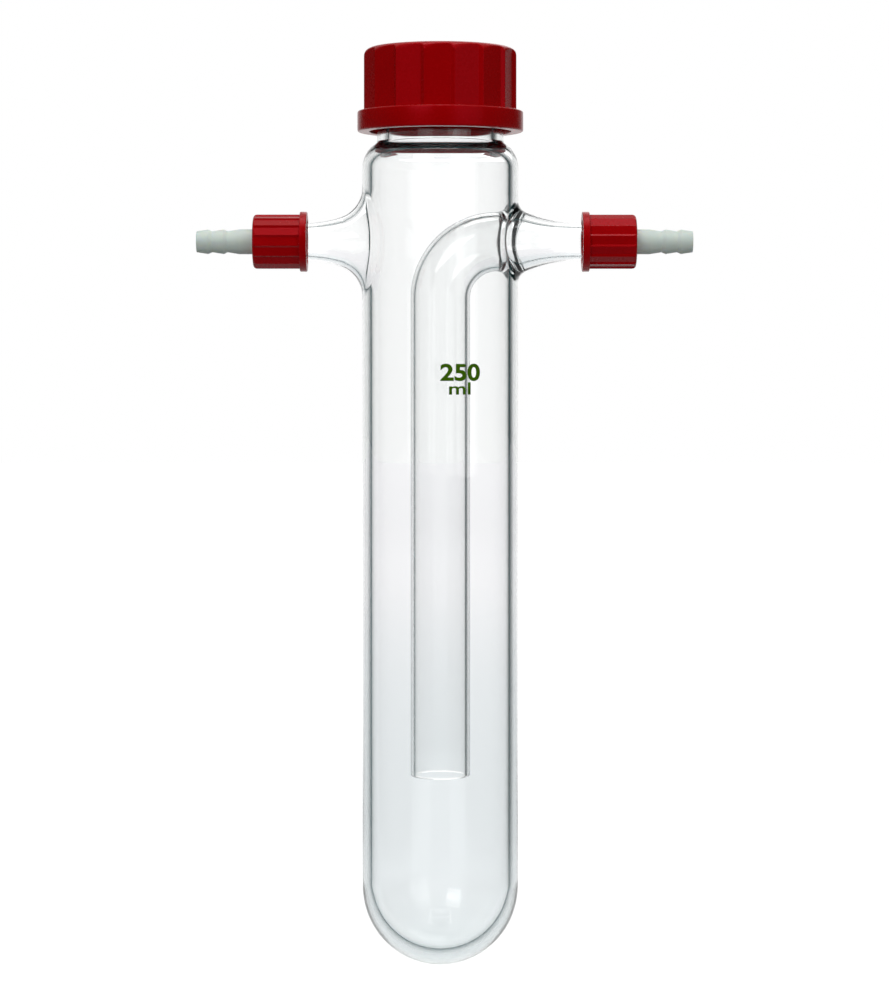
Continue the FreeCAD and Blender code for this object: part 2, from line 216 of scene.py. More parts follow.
class Skin:
    """A closed surface gathered from grids of points that share their edges."""

    def __init__(self) -> None:
        self._points: list[np.ndarray] = []
        self._faces: list[np.ndarray] = []
        self._count = 0

    def add(self, grid: np.ndarray, ring: bool = True) -> None:
        """Add a grid of points as quads between its rows and columns.

        Args:
            grid: Points in millimetres, as rows by columns by three.
            ring: Whether the last column joins the first.
        """
        rows, columns = grid.shape[:2]
        index = np.arange(rows * columns).reshape(rows, columns) + self._count
        if ring:
            index = np.concatenate([index, index[:, :1]], axis=1)
        quads = np.stack([index[:-1, :-1], index[:-1, 1:],
                          index[1:, 1:], index[1:, :-1]], axis=-1)
        self._points.append(grid.reshape(-1, 3))
        self._faces.append(quads.reshape(-1, 4))
        self._count += rows * columns

    def build(self, name: str, finish: bpy.types.Material) -> bpy.types.Object:
        """Write the mesh, weld the shared edges and turn every face outwards.

        Args:
            name: Name of the new object.
            finish: Its material.

        Returns:
            The object, linked to the scene, with its place in its mesh.
        """
        mesh = bpy.data.meshes.new(name)
        points = np.concatenate(self._points) * MM
        mesh.from_pydata(points.tolist(), [], np.concatenate(self._faces).tolist())
        work = bmesh.new()
        work.from_mesh(mesh)
        bmesh.ops.remove_doubles(work, verts=work.verts, dist=WELD)
        bmesh.ops.recalc_face_normals(work, faces=work.faces)
        work.to_mesh(mesh)
        work.free()
        mesh.polygons.foreach_set("use_smooth", np.ones(len(mesh.polygons), bool))
        mesh.materials.append(finish)
        return add_object(name, mesh)


def revolve(outline: np.ndarray, angles: np.ndarray) -> np.ndarray:
    """Grid of an outline of radius and height carried round the Z axis.

    Args:
        outline: Pairs of radius and height.
        angles: Angles round the axis, in radians.

    Returns:
        Points as rows by angles by three: radius times cosine, radius times
        sine, and height.
    """
    radius = outline[:, :1]
    return np.stack([radius * np.cos(angles), radius * np.sin(angles),
                     outline[:, 1:] + 0.0 * angles], axis=-1)


# ------------------------------------------------------------------ finishes

@dataclass(frozen=True)
class Ramp:
    """A level that eases from low to high as a value goes from start to stop."""

    start: float
    stop: float
    low: float = 0.0
    high: float = 1.0


def opaque(colour: Sequence[float]) -> tuple[float, ...]:
    """A colour with full alpha, as the inputs of nodes take it."""
    return (*colour, 1.0)


class Graph:
    """Short way to place and join nodes in a node tree."""

    def __init__(self, tree: bpy.types.NodeTree) -> None:
        self.tree = tree

    def feed(self, into: bpy.types.Node, given: Inputs) -> None:
        """Join a socket, or set a plain value, for each input that is given."""
        for place, value in given.items():
            if isinstance(value, bpy.types.NodeSocket):
                self.tree.links.new(value, into.inputs[place])
            else:
                into.inputs[place].default_value = value

    def node(self, kind: str, given: Inputs | None = None,
             **settings: object) -> bpy.types.Node:
        """Place a node.

        Args:
            kind: The node's type.
            given: Sockets or values for its inputs, by name or number.
            settings: Values for its plain properties, which come first.

        Returns:
            The node.
        """
        made = self.tree.nodes.new(kind)
        for name, value in settings.items():
            setattr(made, name, value)
        self.feed(made, given or {})
        return made

    def maths(self, operation: str, *terms: object, clamp: bool = False) -> Socket:
        """Place a Math node on sockets or numbers; clamped, it stays in 0 to 1."""
        return self.node("ShaderNodeMath", dict(enumerate(terms)), operation=operation,
                         use_clamp=clamp).outputs[0]

    def product(self, first: object, *others: object) -> Socket:
        """Multiply sockets or numbers, from the first to the last."""
        for other in others:
            first = self.maths("MULTIPLY", first, other)
        return first

    def ease(self, value: Socket, ramp: Ramp) -> Socket:
        """Ease a value from one level to another, as a ramp says."""
        bounds = {1: ramp.start, 2: ramp.stop, 3: ramp.low, 4: ramp.high}
        return self.node("ShaderNodeMapRange", {0: value, **bounds},
                         interpolation_type="SMOOTHSTEP").outputs[0]

    def blend(self, share: Socket, first: Colour, second: Colour) -> Socket:
        """Mix two plain colours by a share that is 0 for the first one."""
        return self.node("ShaderNodeMix", {0: share, 6: opaque(first), 7: opaque(second)},
                         data_type="RGBA").outputs[2]

    def either(self, share: Socket, first: Socket, second: Socket) -> Socket:
        """Mix two shaders by a share that is 0 for the first one."""
        return self.node("ShaderNodeMixShader", {0: share, 1: first, 2: second}).outputs[0]

    def matt(self, colour: Colour) -> Socket:
        """Plain diffuse shader of a colour."""
        return self.node("ShaderNodeBsdfDiffuse", {"Color": opaque(colour)}).outputs[0]


def new_material(name: str) -> tuple[bpy.types.Material, Graph]:
    """Make a material with its usual nodes, and the graph of its tree."""
    material = bpy.data.materials.new(name)
    material.use_nodes = True
    return material, Graph(material.node_tree)


def node_group(name: str, inputs: Sequence[str],
               outputs: Sequence[str]) -> bpy.types.NodeTree:
    """Make an empty shader group whose sockets all hold plain numbers."""
    group = bpy.data.node_groups.new(name, "ShaderNodeTree")
    for way, sockets in (("INPUT", inputs), ("OUTPUT", outputs)):
        for socket in sockets:
            group.interface.new_socket(socket, in_out=way, socket_type="NodeSocketFloat")
    return group


@cache
def moulded_grain() -> bpy.types.NodeTree:
    """Group for moulded surfaces: tone, gloss and a faint height that vary.

    A coarse cloud gives the uneven tone of the moulding, and a fine one the
    grain that the mould leaves.  Gloss is the mean of the two, and height is
    the fine cloud alone.

    Returns:
        The node group, made once.
    """
    group = node_group("moulded_grain", ("Coarse", "Fine"), ("Tone", "Gloss", "Height"))
    graph = Graph(group)
    given = graph.node("NodeGroupInput").outputs
    place = graph.node("ShaderNodeTexCoord").outputs["Object"]
    coarse, fine = (
        graph.node("ShaderNodeTexNoise", {"Vector": place, "Scale": given[name],
                                          "Detail": detail}).outputs["Fac"]
        for name, detail in (("Coarse", 2.0), ("Fine", 4.0)))
    mean = graph.maths("MULTIPLY", graph.maths("ADD", coarse, fine), 0.5)
    graph.node("NodeGroupOutput", {"Tone": coarse, "Gloss": mean, "Height": fine})
    return group


@dataclass(frozen=True)
class MouldedFinish:
    """A moulded plastic or rubber: two close tones, its gloss and its grain."""

    name: str
    deep: Colour
    light: Colour
    shine: float
    dull: float
    coarse: float = 60.0
    fine: float = 900.0
    relief: float = 0.04
    relief_height: float = 0.0002
    glow: float = 0.0
    glow_reach: Colour = (0.002, 0.0015, 0.001)
    gloss_tint: Colour = (1.0, 1.0, 1.0)
    gloss: float = 0.5

    def make(self) -> bpy.types.Material:
        """Build the material.

        Returns:
            A Principled material whose colour, roughness and bump come from
            the shared grain group.
        """
        material, graph = new_material(self.name)
        grain = graph.node("ShaderNodeGroup", {"Coarse": self.coarse, "Fine": self.fine},
                           node_tree=moulded_grain()).outputs
        span = graph.maths("MULTIPLY", grain["Gloss"], self.dull - self.shine)
        bump = graph.node("ShaderNodeBump", {"Strength": self.relief,
                                             "Distance": self.relief_height,
                                             "Height": grain["Height"]})
        graph.feed(material.node_tree.nodes["Principled BSDF"], {
            "Base Color": graph.blend(grain["Tone"], self.deep, self.light),
            "Roughness": graph.maths("ADD", span, self.shine),
            "Normal": bump.outputs["Normal"],
            "Specular Tint": opaque(self.gloss_tint),
            "Specular IOR Level": self.gloss,
            "Subsurface Weight": self.glow,
            "Subsurface Radius": self.glow_reach})
        return material


@cache
def rim_shade() -> bpy.types.NodeTree:
    """Group for the painted shade that darkens blown glass where light skims its surfaces.

    Painted shade stands in for light that turns back inside the wall: it is
    darkest just past the critical angle, and dies away from there with an
    exponential.  Mirrored light gets less of it.  Light that meets a surface
    from the air, behind the first one, gets painted shade by a power of the
    facing value, and by an even painted dulling that is the same all over.

    Returns:
        The node group, made once.
    """
    group = node_group("rim_shade", ("Facing", "Inside", "Behind", "Critical", "Fade",
                                     "Turned", "Power", "Skimmed", "Film", "Mirrored"),
                       ("Shade",))
    graph = Graph(group)
    given = graph.node("NodeGroupInput").outputs
    past = graph.maths("SUBTRACT", given["Facing"], given["Critical"])
    growth = graph.maths("EXPONENT", graph.maths("DIVIDE", past, given["Fade"]))
    turned = graph.product(graph.maths("GREATER_THAN", past, 0.0),
                           graph.maths("DIVIDE", 1.0, growth), given["Turned"],
                           given["Inside"], graph.maths("SUBTRACT", 1.0, given["Mirrored"]))
    skim = graph.product(graph.maths("POWER", given["Facing"], given["Power"]),
                         given["Skimmed"])
    skim = graph.product(graph.maths("ADD", skim, given["Film"]), given["Behind"],
                         graph.maths("SUBTRACT", 1.0, given["Inside"]))
    graph.node("NodeGroupOutput", {"Shade": graph.maths("ADD", turned, skim, clamp=True)})
    return group


@dataclass(frozen=True)
class ClearGlass:
    """Borosilicate glass: clear face on, with painted grey-green shade where light skims the
    wall.
    """

    name: str = "borosilicate"
    # Colour of the painted shade that is mixed in where light skims the glass.
    painted_shade_colour: Colour = (0.04, 0.11, 0.12)
    fade: float = 0.029
    turned: float = 0.95
    power: float = 7.0
    skimmed: float = 1.00
    # An even painted dulling of each surface met behind the first one.
    film: float = 0.03
    spared: float = 0.75
    depth_tint: Colour = (0.66, 0.78, 0.76)
    depth_per_metre: float = 14.0
    ior: float = 1.473
    shadow: Colour = (0.90, 0.93, 0.92)

    @property
    def critical(self) -> float:
        """Facing value at the critical angle: one less that angle's cosine."""
        return 1.0 - math.sqrt(1.0 - 1.0 / self.ior ** 2)

    def make(self) -> bpy.types.Material:
        """Build the material.

        Returns:
            A Principled glass that darkens with the path through it, with painted
            shade where light skims it, and that lets the lamps through to what it holds.
        """
        material, graph = new_material(self.name)
        nodes = material.node_tree.nodes
        shader = nodes["Principled BSDF"]
        graph.feed(shader, {"Base Color": opaque(WHITE), "Roughness": 0.0,
                            "IOR": self.ior, "Transmission Weight": 1.0})
        path = graph.node("ShaderNodeLightPath").outputs
        behind, mirrored = (graph.maths("MINIMUM", path[depth], 1.0)
                            for depth in ("Transmission Depth", "Glossy Depth"))
        shade = graph.node("ShaderNodeGroup", {
            "Facing": graph.node("ShaderNodeLayerWeight", {"Blend": 0.5}).outputs["Facing"],
            "Inside": graph.node("ShaderNodeNewGeometry").outputs["Backfacing"],
            "Behind": behind, "Mirrored": graph.product(mirrored, self.spared),
            "Critical": self.critical, "Fade": self.fade, "Turned": self.turned,
            "Power": self.power, "Skimmed": self.skimmed, "Film": self.film},
            node_tree=rim_shade())
        clear = graph.node("ShaderNodeBsdfTransparent", {"Color": opaque(self.shadow)})
        depth = graph.node("ShaderNodeVolumeAbsorption", {"Color": opaque(self.depth_tint),
                                                          "Density": self.depth_per_metre})
        # Mix in the painted shade colour as far as the group's shade says.
        shaded = graph.either(shade.outputs["Shade"], shader.outputs[0],
                              graph.matt(self.painted_shade_colour))
        surface = graph.either(path[Ray.SHADOW.value], shaded, clear.outputs[0])
        graph.feed(nodes["Material Output"], {"Surface": surface, "Volume": depth.outputs[0]})
        return material


# ------------------------------------------------------------------ glass

@dataclass
class Flare:
    """An arm's outline and the ball that rounds its join with the vessel.

    The outline is a straight tube of the given radius beyond tangent, and
    nearer the vessel an arc of the sweep radius that is tangent to it.
    """

    wall: float
    radius: float
    tangent: float
    sweep: float
    ball: float
    ball_outside: bool = True
    swell_outwards: bool = False

    @property
    def reach(self) -> float:
        """Distance of the ball's centre from the vessel's axis."""
        return self.wall + (self.ball if self.ball_outside else -self.ball)

    def radius_at(self, distance: np.ndarray) -> np.ndarray:
        """Radius of the outline at a distance from the vessel's axis.

        Args:
            distance: Distances along the arm.

        Returns:
            The tube's radius plus the arc's rise, which is the sweep radius
            less the root of its square less the square of the way to the
            tangent point.
        """
        way = distance - self.tangent if self.swell_outwards else self.tangent - distance
        way = np.clip(way, 0.0, self.sweep)
        return self.radius + self.sweep - np.sqrt(self.sweep ** 2 - way ** 2)

    def centres(self, around: np.ndarray) -> tuple[np.ndarray, np.ndarray]:
        """Centre of the rolling ball at each angle round the arm.

        The centre keeps its reach from the vessel's axis and a distance of
        sweep less ball from the arc's centre.  Both conditions are solved
        together by Newton's method for every angle at once.

        Args:
            around: Angles round the arm, from the horizontal.

        Returns:
            Distance along the arm and distance from the arm's axis.
        """
        middle = self.radius + self.sweep
        span = self.sweep - self.ball
        level = np.cos(around) ** 2
        along = np.full_like(around, self.reach)
        off = middle - np.sqrt(span ** 2 - (along - self.tangent) ** 2)
        for _ in range(40):
            miss_wall = along ** 2 + off ** 2 * level - self.reach ** 2
            miss_arc = (along - self.tangent) ** 2 + (off - middle) ** 2 - span ** 2
            a, b = 2 * along, 2 * off * level
            c, d = 2 * (along - self.tangent), 2 * (off - middle)
            spread = a * d - b * c
            along = along - (miss_wall * d - miss_arc * b) / spread
            off = off - (miss_arc * a - miss_wall * c) / spread
        return along, off

    def fillet(self, around: np.ndarray, rows: int) -> tuple[np.ndarray, np.ndarray]:
        """Rounded join from the vessel's wall to the arm.

        Each column is the short arc of the ball between the point where it
        touches the wall and the point where it touches the arm, turned evenly
        from the one direction to the other.

        Args:
            around: Angles round the arm, from the horizontal.
            rows: Number of rows across the join.

        Returns:
            Points with the arm along +X and its axis at height 0, and the
            distance along the arm where each column ends.
        """
        along, off = self.centres(around)
        centre = np.stack([along, off * np.cos(around), off * np.sin(around)], axis=-1)
        scale = np.array([self.wall / self.reach, self.wall / self.reach, 1.0])
        on_wall = centre * scale
        middle = self.radius + self.sweep
        stretch = self.sweep / (self.sweep - self.ball)
        foot = self.tangent + (along - self.tangent) * stretch
        rise = middle + (off - middle) * stretch
        on_arm = np.stack([foot, rise * np.cos(around), rise * np.sin(around)], axis=-1)
        first = (on_wall - centre) / self.ball
        last = (on_arm - centre) / self.ball
        between = np.arccos(np.clip(np.sum(first * last, axis=-1), -1.0, 1.0))[:, None]
        share = shares(rows)[:, :, None]
        turned = (np.sin((1 - share) * between) * first
                  + np.sin(share * between) * last) / np.sin(between)
        return centre + self.ball * turned, foot


@dataclass
class GlassVessel:
    """The blown vessel: tube, neck, flared arms, ring seal and dip tube."""

    finish: ClearGlass
    body: str = "glass_body"
    wall: float = 3.0
    bottom_wall: float = 4.4
    arms_to_shoulder: float = 23.7
    shoulder: float = 9.0
    inner_shoulder: float = 5.5
    neck_wall: float = 3.8
    neck_blend: float = 1.2
    inner_blend: float = 4.0
    rim_round: float = 0.6
    neck_thread: Thread = Thread(first=3.6, pitch=4.0, turns=2.1, width=3.0, height=1.95)
    arm_radius: float = 5.9
    arm_bore: float = 4.5
    arm_rim_round: float = 0.3
    arm_thread: Thread = Thread(first=2.2, pitch=2.5, turns=2.2, width=1.9, height=0.95)
    taper: float = 19.5
    left_sweep: float = 42.0
    left_bore_sweep: float = 52.0
    left_ball: float = 10.5
    left_bore_ball: float = 13.0
    right_sweep: float = 42.0
    right_ball: float = 4.0
    waist_out: float = 2.5
    waist_radius: float = 6.2
    waist_slope: float = -0.25
    dip_wall: float = 1.4
    dip_rim_round: float = 0.62
    stub: float = 3.8
    stub_sweep: float = 4.2
    stub_ball: float = 0.6
    window: float = 21.0
    skin: Skin = field(default_factory=Skin)

    def __post_init__(self) -> None:
        neck_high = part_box("threaded_neck")[1]
        arm_low, arm_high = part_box("left_arm")
        dip_low, dip_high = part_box("dip_tube")
        self.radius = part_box("vessel_tube")[1][1] / MM
        self.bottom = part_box("round_bottom")[0][2] / MM
        self.neck_radius = neck_high[1] / MM
        self.rim = neck_high[2] / MM
        self.arm_z = (arm_low[2] + arm_high[2]) / 2 / MM
        self.left_reach = -arm_low[0] / MM
        self.right_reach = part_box("right_arm")[1][0] / MM
        self.dip_radius = dip_high[1] / MM
        self.dip_end = dip_low[2] / MM
        self.inner = self.radius - self.wall
        self.bend = self.inner - self.stub
        self.straight = self.radius + self.taper
        self.columns = np.arange(COLUMNS) * TURN / COLUMNS

    # ---- vessel ----

    def neck_turn(self, radius: float, shoulder: float, neck: float,
                  blend: float) -> tuple[float, float]:
        """Angle in degrees and height where the shoulder meets the neck's blend."""
        across = neck + blend - (radius - shoulder)
        rise = math.sqrt((shoulder + blend) ** 2 - across ** 2)
        start = self.arm_z + self.arms_to_shoulder
        return math.degrees(math.atan2(rise, across)), start + rise

    def shoulder_outline(self, radius: float, shoulder: float, neck: float,
                         blend: float) -> np.ndarray:
        """Outline from the ports' upper edge over the shoulder to the neck."""
        angle, height = self.neck_turn(radius, shoulder, neck, blend)
        start = self.arm_z + self.arms_to_shoulder
        return join_runs(
            run_points((radius, self.arm_z + self.window), (radius, start), 3),
            arc_points((radius - shoulder, start), shoulder, 0, angle, 14),
            arc_points((neck + blend, height), blend, 180 + angle, 180, 9))

    def upper_outline(self) -> np.ndarray:
        """Outline from the outer wall over shoulder, neck and rim to the inside."""
        neck = self.neck_radius
        bore = neck - self.neck_wall
        outer = self.shoulder_outline(self.radius, self.shoulder, neck, self.neck_blend)
        inner = self.shoulder_outline(self.inner, self.inner_shoulder, bore,
                                      self.inner_blend)
        edge = self.rim_round
        threaded = run_points(outer[-1], (neck, self.rim - edge), 92)
        rim = join_runs(
            arc_points((neck - edge, self.rim - edge), edge, 0, 90, 6),
            arc_points((bore + edge, self.rim - edge), edge, 90, 180, 6))
        down = run_points((bore, self.rim - edge), inner[-1], 6)
        return join_runs(outer, threaded, rim, down, inner[::-1])

    def lower_outline(self, radius: float, lowest: float) -> np.ndarray:
        """Outline from the ports' lower edge down round the bottom to its pole."""
        middle = lowest + radius
        drop = run_points((radius, self.arm_z - self.window), (radius, middle), 8)
        return join_runs(drop, arc_points((0, middle), radius, 0, -90, 30))

    def add_vessel(self) -> None:
        """Add the tube, its round bottom and its threaded neck."""
        upper = self.upper_outline()
        on_core = np.abs(upper[:, :1] - self.neck_radius) < 0.001
        ridge = on_core * self.neck_thread.ridge(self.rim - upper[:, 1:],
                                                 self.columns / TURN)
        grid = revolve(upper, self.columns)
        grid[..., 0] += ridge * np.cos(self.columns)
        grid[..., 1] += ridge * np.sin(self.columns)
        self.skin.add(grid)
        for radius, lowest in ((self.radius, self.bottom),
                               (self.inner, self.bottom + self.bottom_wall)):
            self.skin.add(revolve(self.lower_outline(radius, lowest), self.columns))
            self.add_band(radius)

    def add_band(self, radius: float) -> None:
        """Add the strips of wall in front of and behind the ports."""
        heights = self.arm_z + np.linspace(-self.window, self.window, PORT_STEPS + 1)
        outline = np.stack([np.full_like(heights, radius), heights], axis=1)
        eighth = COLUMNS // 8
        for start in (eighth, 5 * eighth):
            angles = np.arange(start, start + PORT_STEPS + 1) * TURN / COLUMNS
            self.skin.add(revolve(outline, angles), ring=False)

    def place(self, grid: np.ndarray, side: Side) -> np.ndarray:
        """Turn a grid made for an arm along +X to its side and height."""
        return grid * np.array([side.value, 1.0, 1.0]) + np.array([0, 0, self.arm_z])

    def add_port(self, edge: np.ndarray, radius: float, side: Side) -> None:
        """Add the wall between a join's edge and the square window round it.

        The edge is a closed curve on the wall.  Its angle round the vessel and
        its height are eased straight to the window's outline, and the points
        are laid back on the cylinder.

        Args:
            edge: The join's points on the wall, with the arm along +X.
            radius: The wall's radius.
            side: The side of the vessel.
        """
        share = shares(9)
        angle = np.arctan2(edge[:, 1], edge[:, 0])
        count = np.arange(COLUMNS)
        marks = np.array([0, 1, 3, 5, 7, 8]) * COLUMNS / 8
        square = math.pi / 4
        across = np.interp(count, marks, np.array([1, 1, -1, -1, 1, 1]) * square)
        upward = np.interp(count, marks, np.array([0, 1, 1, -1, -1, 0]) * self.window)
        angles = angle * (1 - share) + across * share
        heights = edge[:, 2] * (1 - share) + upward * share
        grid = np.stack([radius * np.cos(angles), radius * np.sin(angles), heights],
                        axis=-1)
        self.skin.add(self.place(grid, side))

    # ---- arms ----

    def around(self, along: np.ndarray, radius: np.ndarray) -> np.ndarray:
        """Grid round the arm's axis from distances along it and radii."""
        shape = np.broadcast_shapes(along.shape, radius.shape, (1, COLUMNS))
        along = np.broadcast_to(along, shape)
        radius = np.broadcast_to(radius, shape)
        return np.stack([along, radius * np.cos(self.columns),
                         radius * np.sin(self.columns)], axis=-1)

    def threaded_end(self, reach: float) -> np.ndarray:
        """Grid of an arm's straight end: thread, rim and bore."""
        edge = self.arm_rim_round
        along = run_points((self.straight,), (reach - edge,), 62)
        ridge = self.arm_thread.ridge(reach - along, self.columns / TURN)
        outside = self.around(along, self.arm_radius + ridge)
        outer = arc_points((reach - edge, self.arm_radius - edge), edge, 90, 0, 5)
        inner = arc_points((reach - edge, self.arm_bore + edge), edge, 0, -90, 5)
        rim = join_runs(outer, inner)
        bore = run_points((reach - edge, self.arm_bore), (self.straight, self.arm_bore), 5)
        rest = join_runs(rim, bore)
        inside = self.around(rest[:, :1], rest[:, 1:])
        return np.concatenate([outside, inside[1:]])

    def add_flare(self, flare: Flare, side: Side) -> None:
        """Add a port, its rounded join and the swelling part of an arm."""
        join, foot = flare.fillet(self.columns, 17)
        self.add_port(join[0], flare.wall, side)
        self.skin.add(self.place(join, side))
        share = shares(15)
        end = self.bend if flare.swell_outwards else self.straight
        along = foot * (1 - share) + end * share
        self.skin.add(self.place(self.around(along, flare.radius_at(along)), side))

    def add_arms(self) -> None:
        """Add both arms, the left one's bore and the ring seal's inner flare."""
        left = Flare(self.radius, self.arm_radius, self.straight, self.left_sweep,
                     self.left_ball)
        bore = Flare(self.inner, self.arm_bore, self.straight, self.left_bore_sweep,
                     self.left_bore_ball)
        right = Flare(self.radius, self.arm_radius, self.straight, self.right_sweep,
                      self.right_ball)
        seal = Flare(self.inner, self.dip_radius, self.bend, self.stub_sweep,
                     self.stub_ball, ball_outside=False, swell_outwards=True)
        for flare, side in ((left, Side.LEFT), (bore, Side.LEFT),
                            (right, Side.RIGHT), (seal, Side.RIGHT)):
            self.add_flare(flare, side)
        for reach, side in ((self.left_reach, Side.LEFT), (self.right_reach, Side.RIGHT)):
            self.skin.add(self.place(self.threaded_end(reach), side))

    # ---- dip tube ----

    def waist_bore(self) -> np.ndarray:
        """Grid of the ring seal's bore, from the arm's tube to the bend.

        Two cubic curves meet at the waist.  Each follows from its two end
        radii and end slopes by the usual four blending polynomials.

        Returns:
            Points round the arm's axis.
        """
        knots = [(self.straight, self.arm_bore, 0.0),
                 (self.radius + self.waist_out, self.waist_radius, self.waist_slope),
                 (self.bend, self.dip_radius - self.dip_wall, 0.0)]
        runs = []
        for (x0, r0, s0), (x1, r1, s1) in zip(knots, knots[1:]):
            t = shares(16)[:, 0]
            span = x1 - x0
            radius = ((2 * t ** 3 - 3 * t ** 2 + 1) * r0 + (t ** 3 - 2 * t ** 2 + t) * span * s0
                      + (3 * t ** 2 - 2 * t ** 3) * r1 + (t ** 3 - t ** 2) * span * s1)
            runs.append(np.stack([x0 + span * t, radius], axis=1))
        outline = join_runs(*runs)
        return self.around(outline[:, :1], outline[:, 1:])

    def bent_run(self, radius: float) -> np.ndarray:
        """Grid of the dip tube's wall, from the ring seal round the bend and down.

        The ring's upward direction turns with the bend: at each angle the
        centre is the bend's centre plus its radius along that direction.

        Args:
            radius: Radius of the wall.

        Returns:
            Points from the bend's start to just above the open end.
        """
        angle = shares(33, 0.005) * math.pi / 2
        out = np.sin(angle)
        up = np.cos(angle)
        swing = self.bend + radius * np.sin(self.columns)
        bend = np.stack([self.bend - swing * out,
                         radius * np.cos(self.columns) + 0.0 * angle,
                         swing * up - self.bend], axis=-1)
        top = -self.bend
        stop = self.dip_end - self.arm_z + self.dip_rim_round
        heights = run_points((top,), (stop,), 12)
        straight = np.stack(np.broadcast_arrays(-radius * np.sin(self.columns),
                                                radius * np.cos(self.columns), heights),
                            axis=-1)
        return np.concatenate([bend, straight[1:]])

    def add_dip_tube(self) -> None:
        """Add the ring seal's bore and the dip tube down to its open end."""
        outer = self.dip_radius
        inner = outer - self.dip_wall
        edge = self.dip_rim_round
        low = self.dip_end - self.arm_z
        rim = join_runs(arc_points((outer - edge, low + edge), edge, 0, -90, 5),
                        arc_points((inner + edge, low + edge), edge, -90, -180, 5))
        radius, height = rim[:, :1], rim[:, 1:]
        end = np.stack([-radius * np.sin(self.columns), radius * np.cos(self.columns),
                        height + 0.0 * self.columns], axis=-1)
        for grid in (self.waist_bore(), self.bent_run(inner), self.bent_run(outer), end):
            self.skin.add(self.place(grid, Side.RIGHT))

    def build(self) -> bpy.types.Object:
        """Build the glass in the place of its seven solids."""
        self.add_vessel()
        self.add_arms()
        self.add_dip_tube()
        piece = self.skin.build("blown_glass", self.finish.make())
        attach(piece, self.body)
        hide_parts(*GLASS_NODES)
        return piece


# ------------------------------------------------------------------ caps

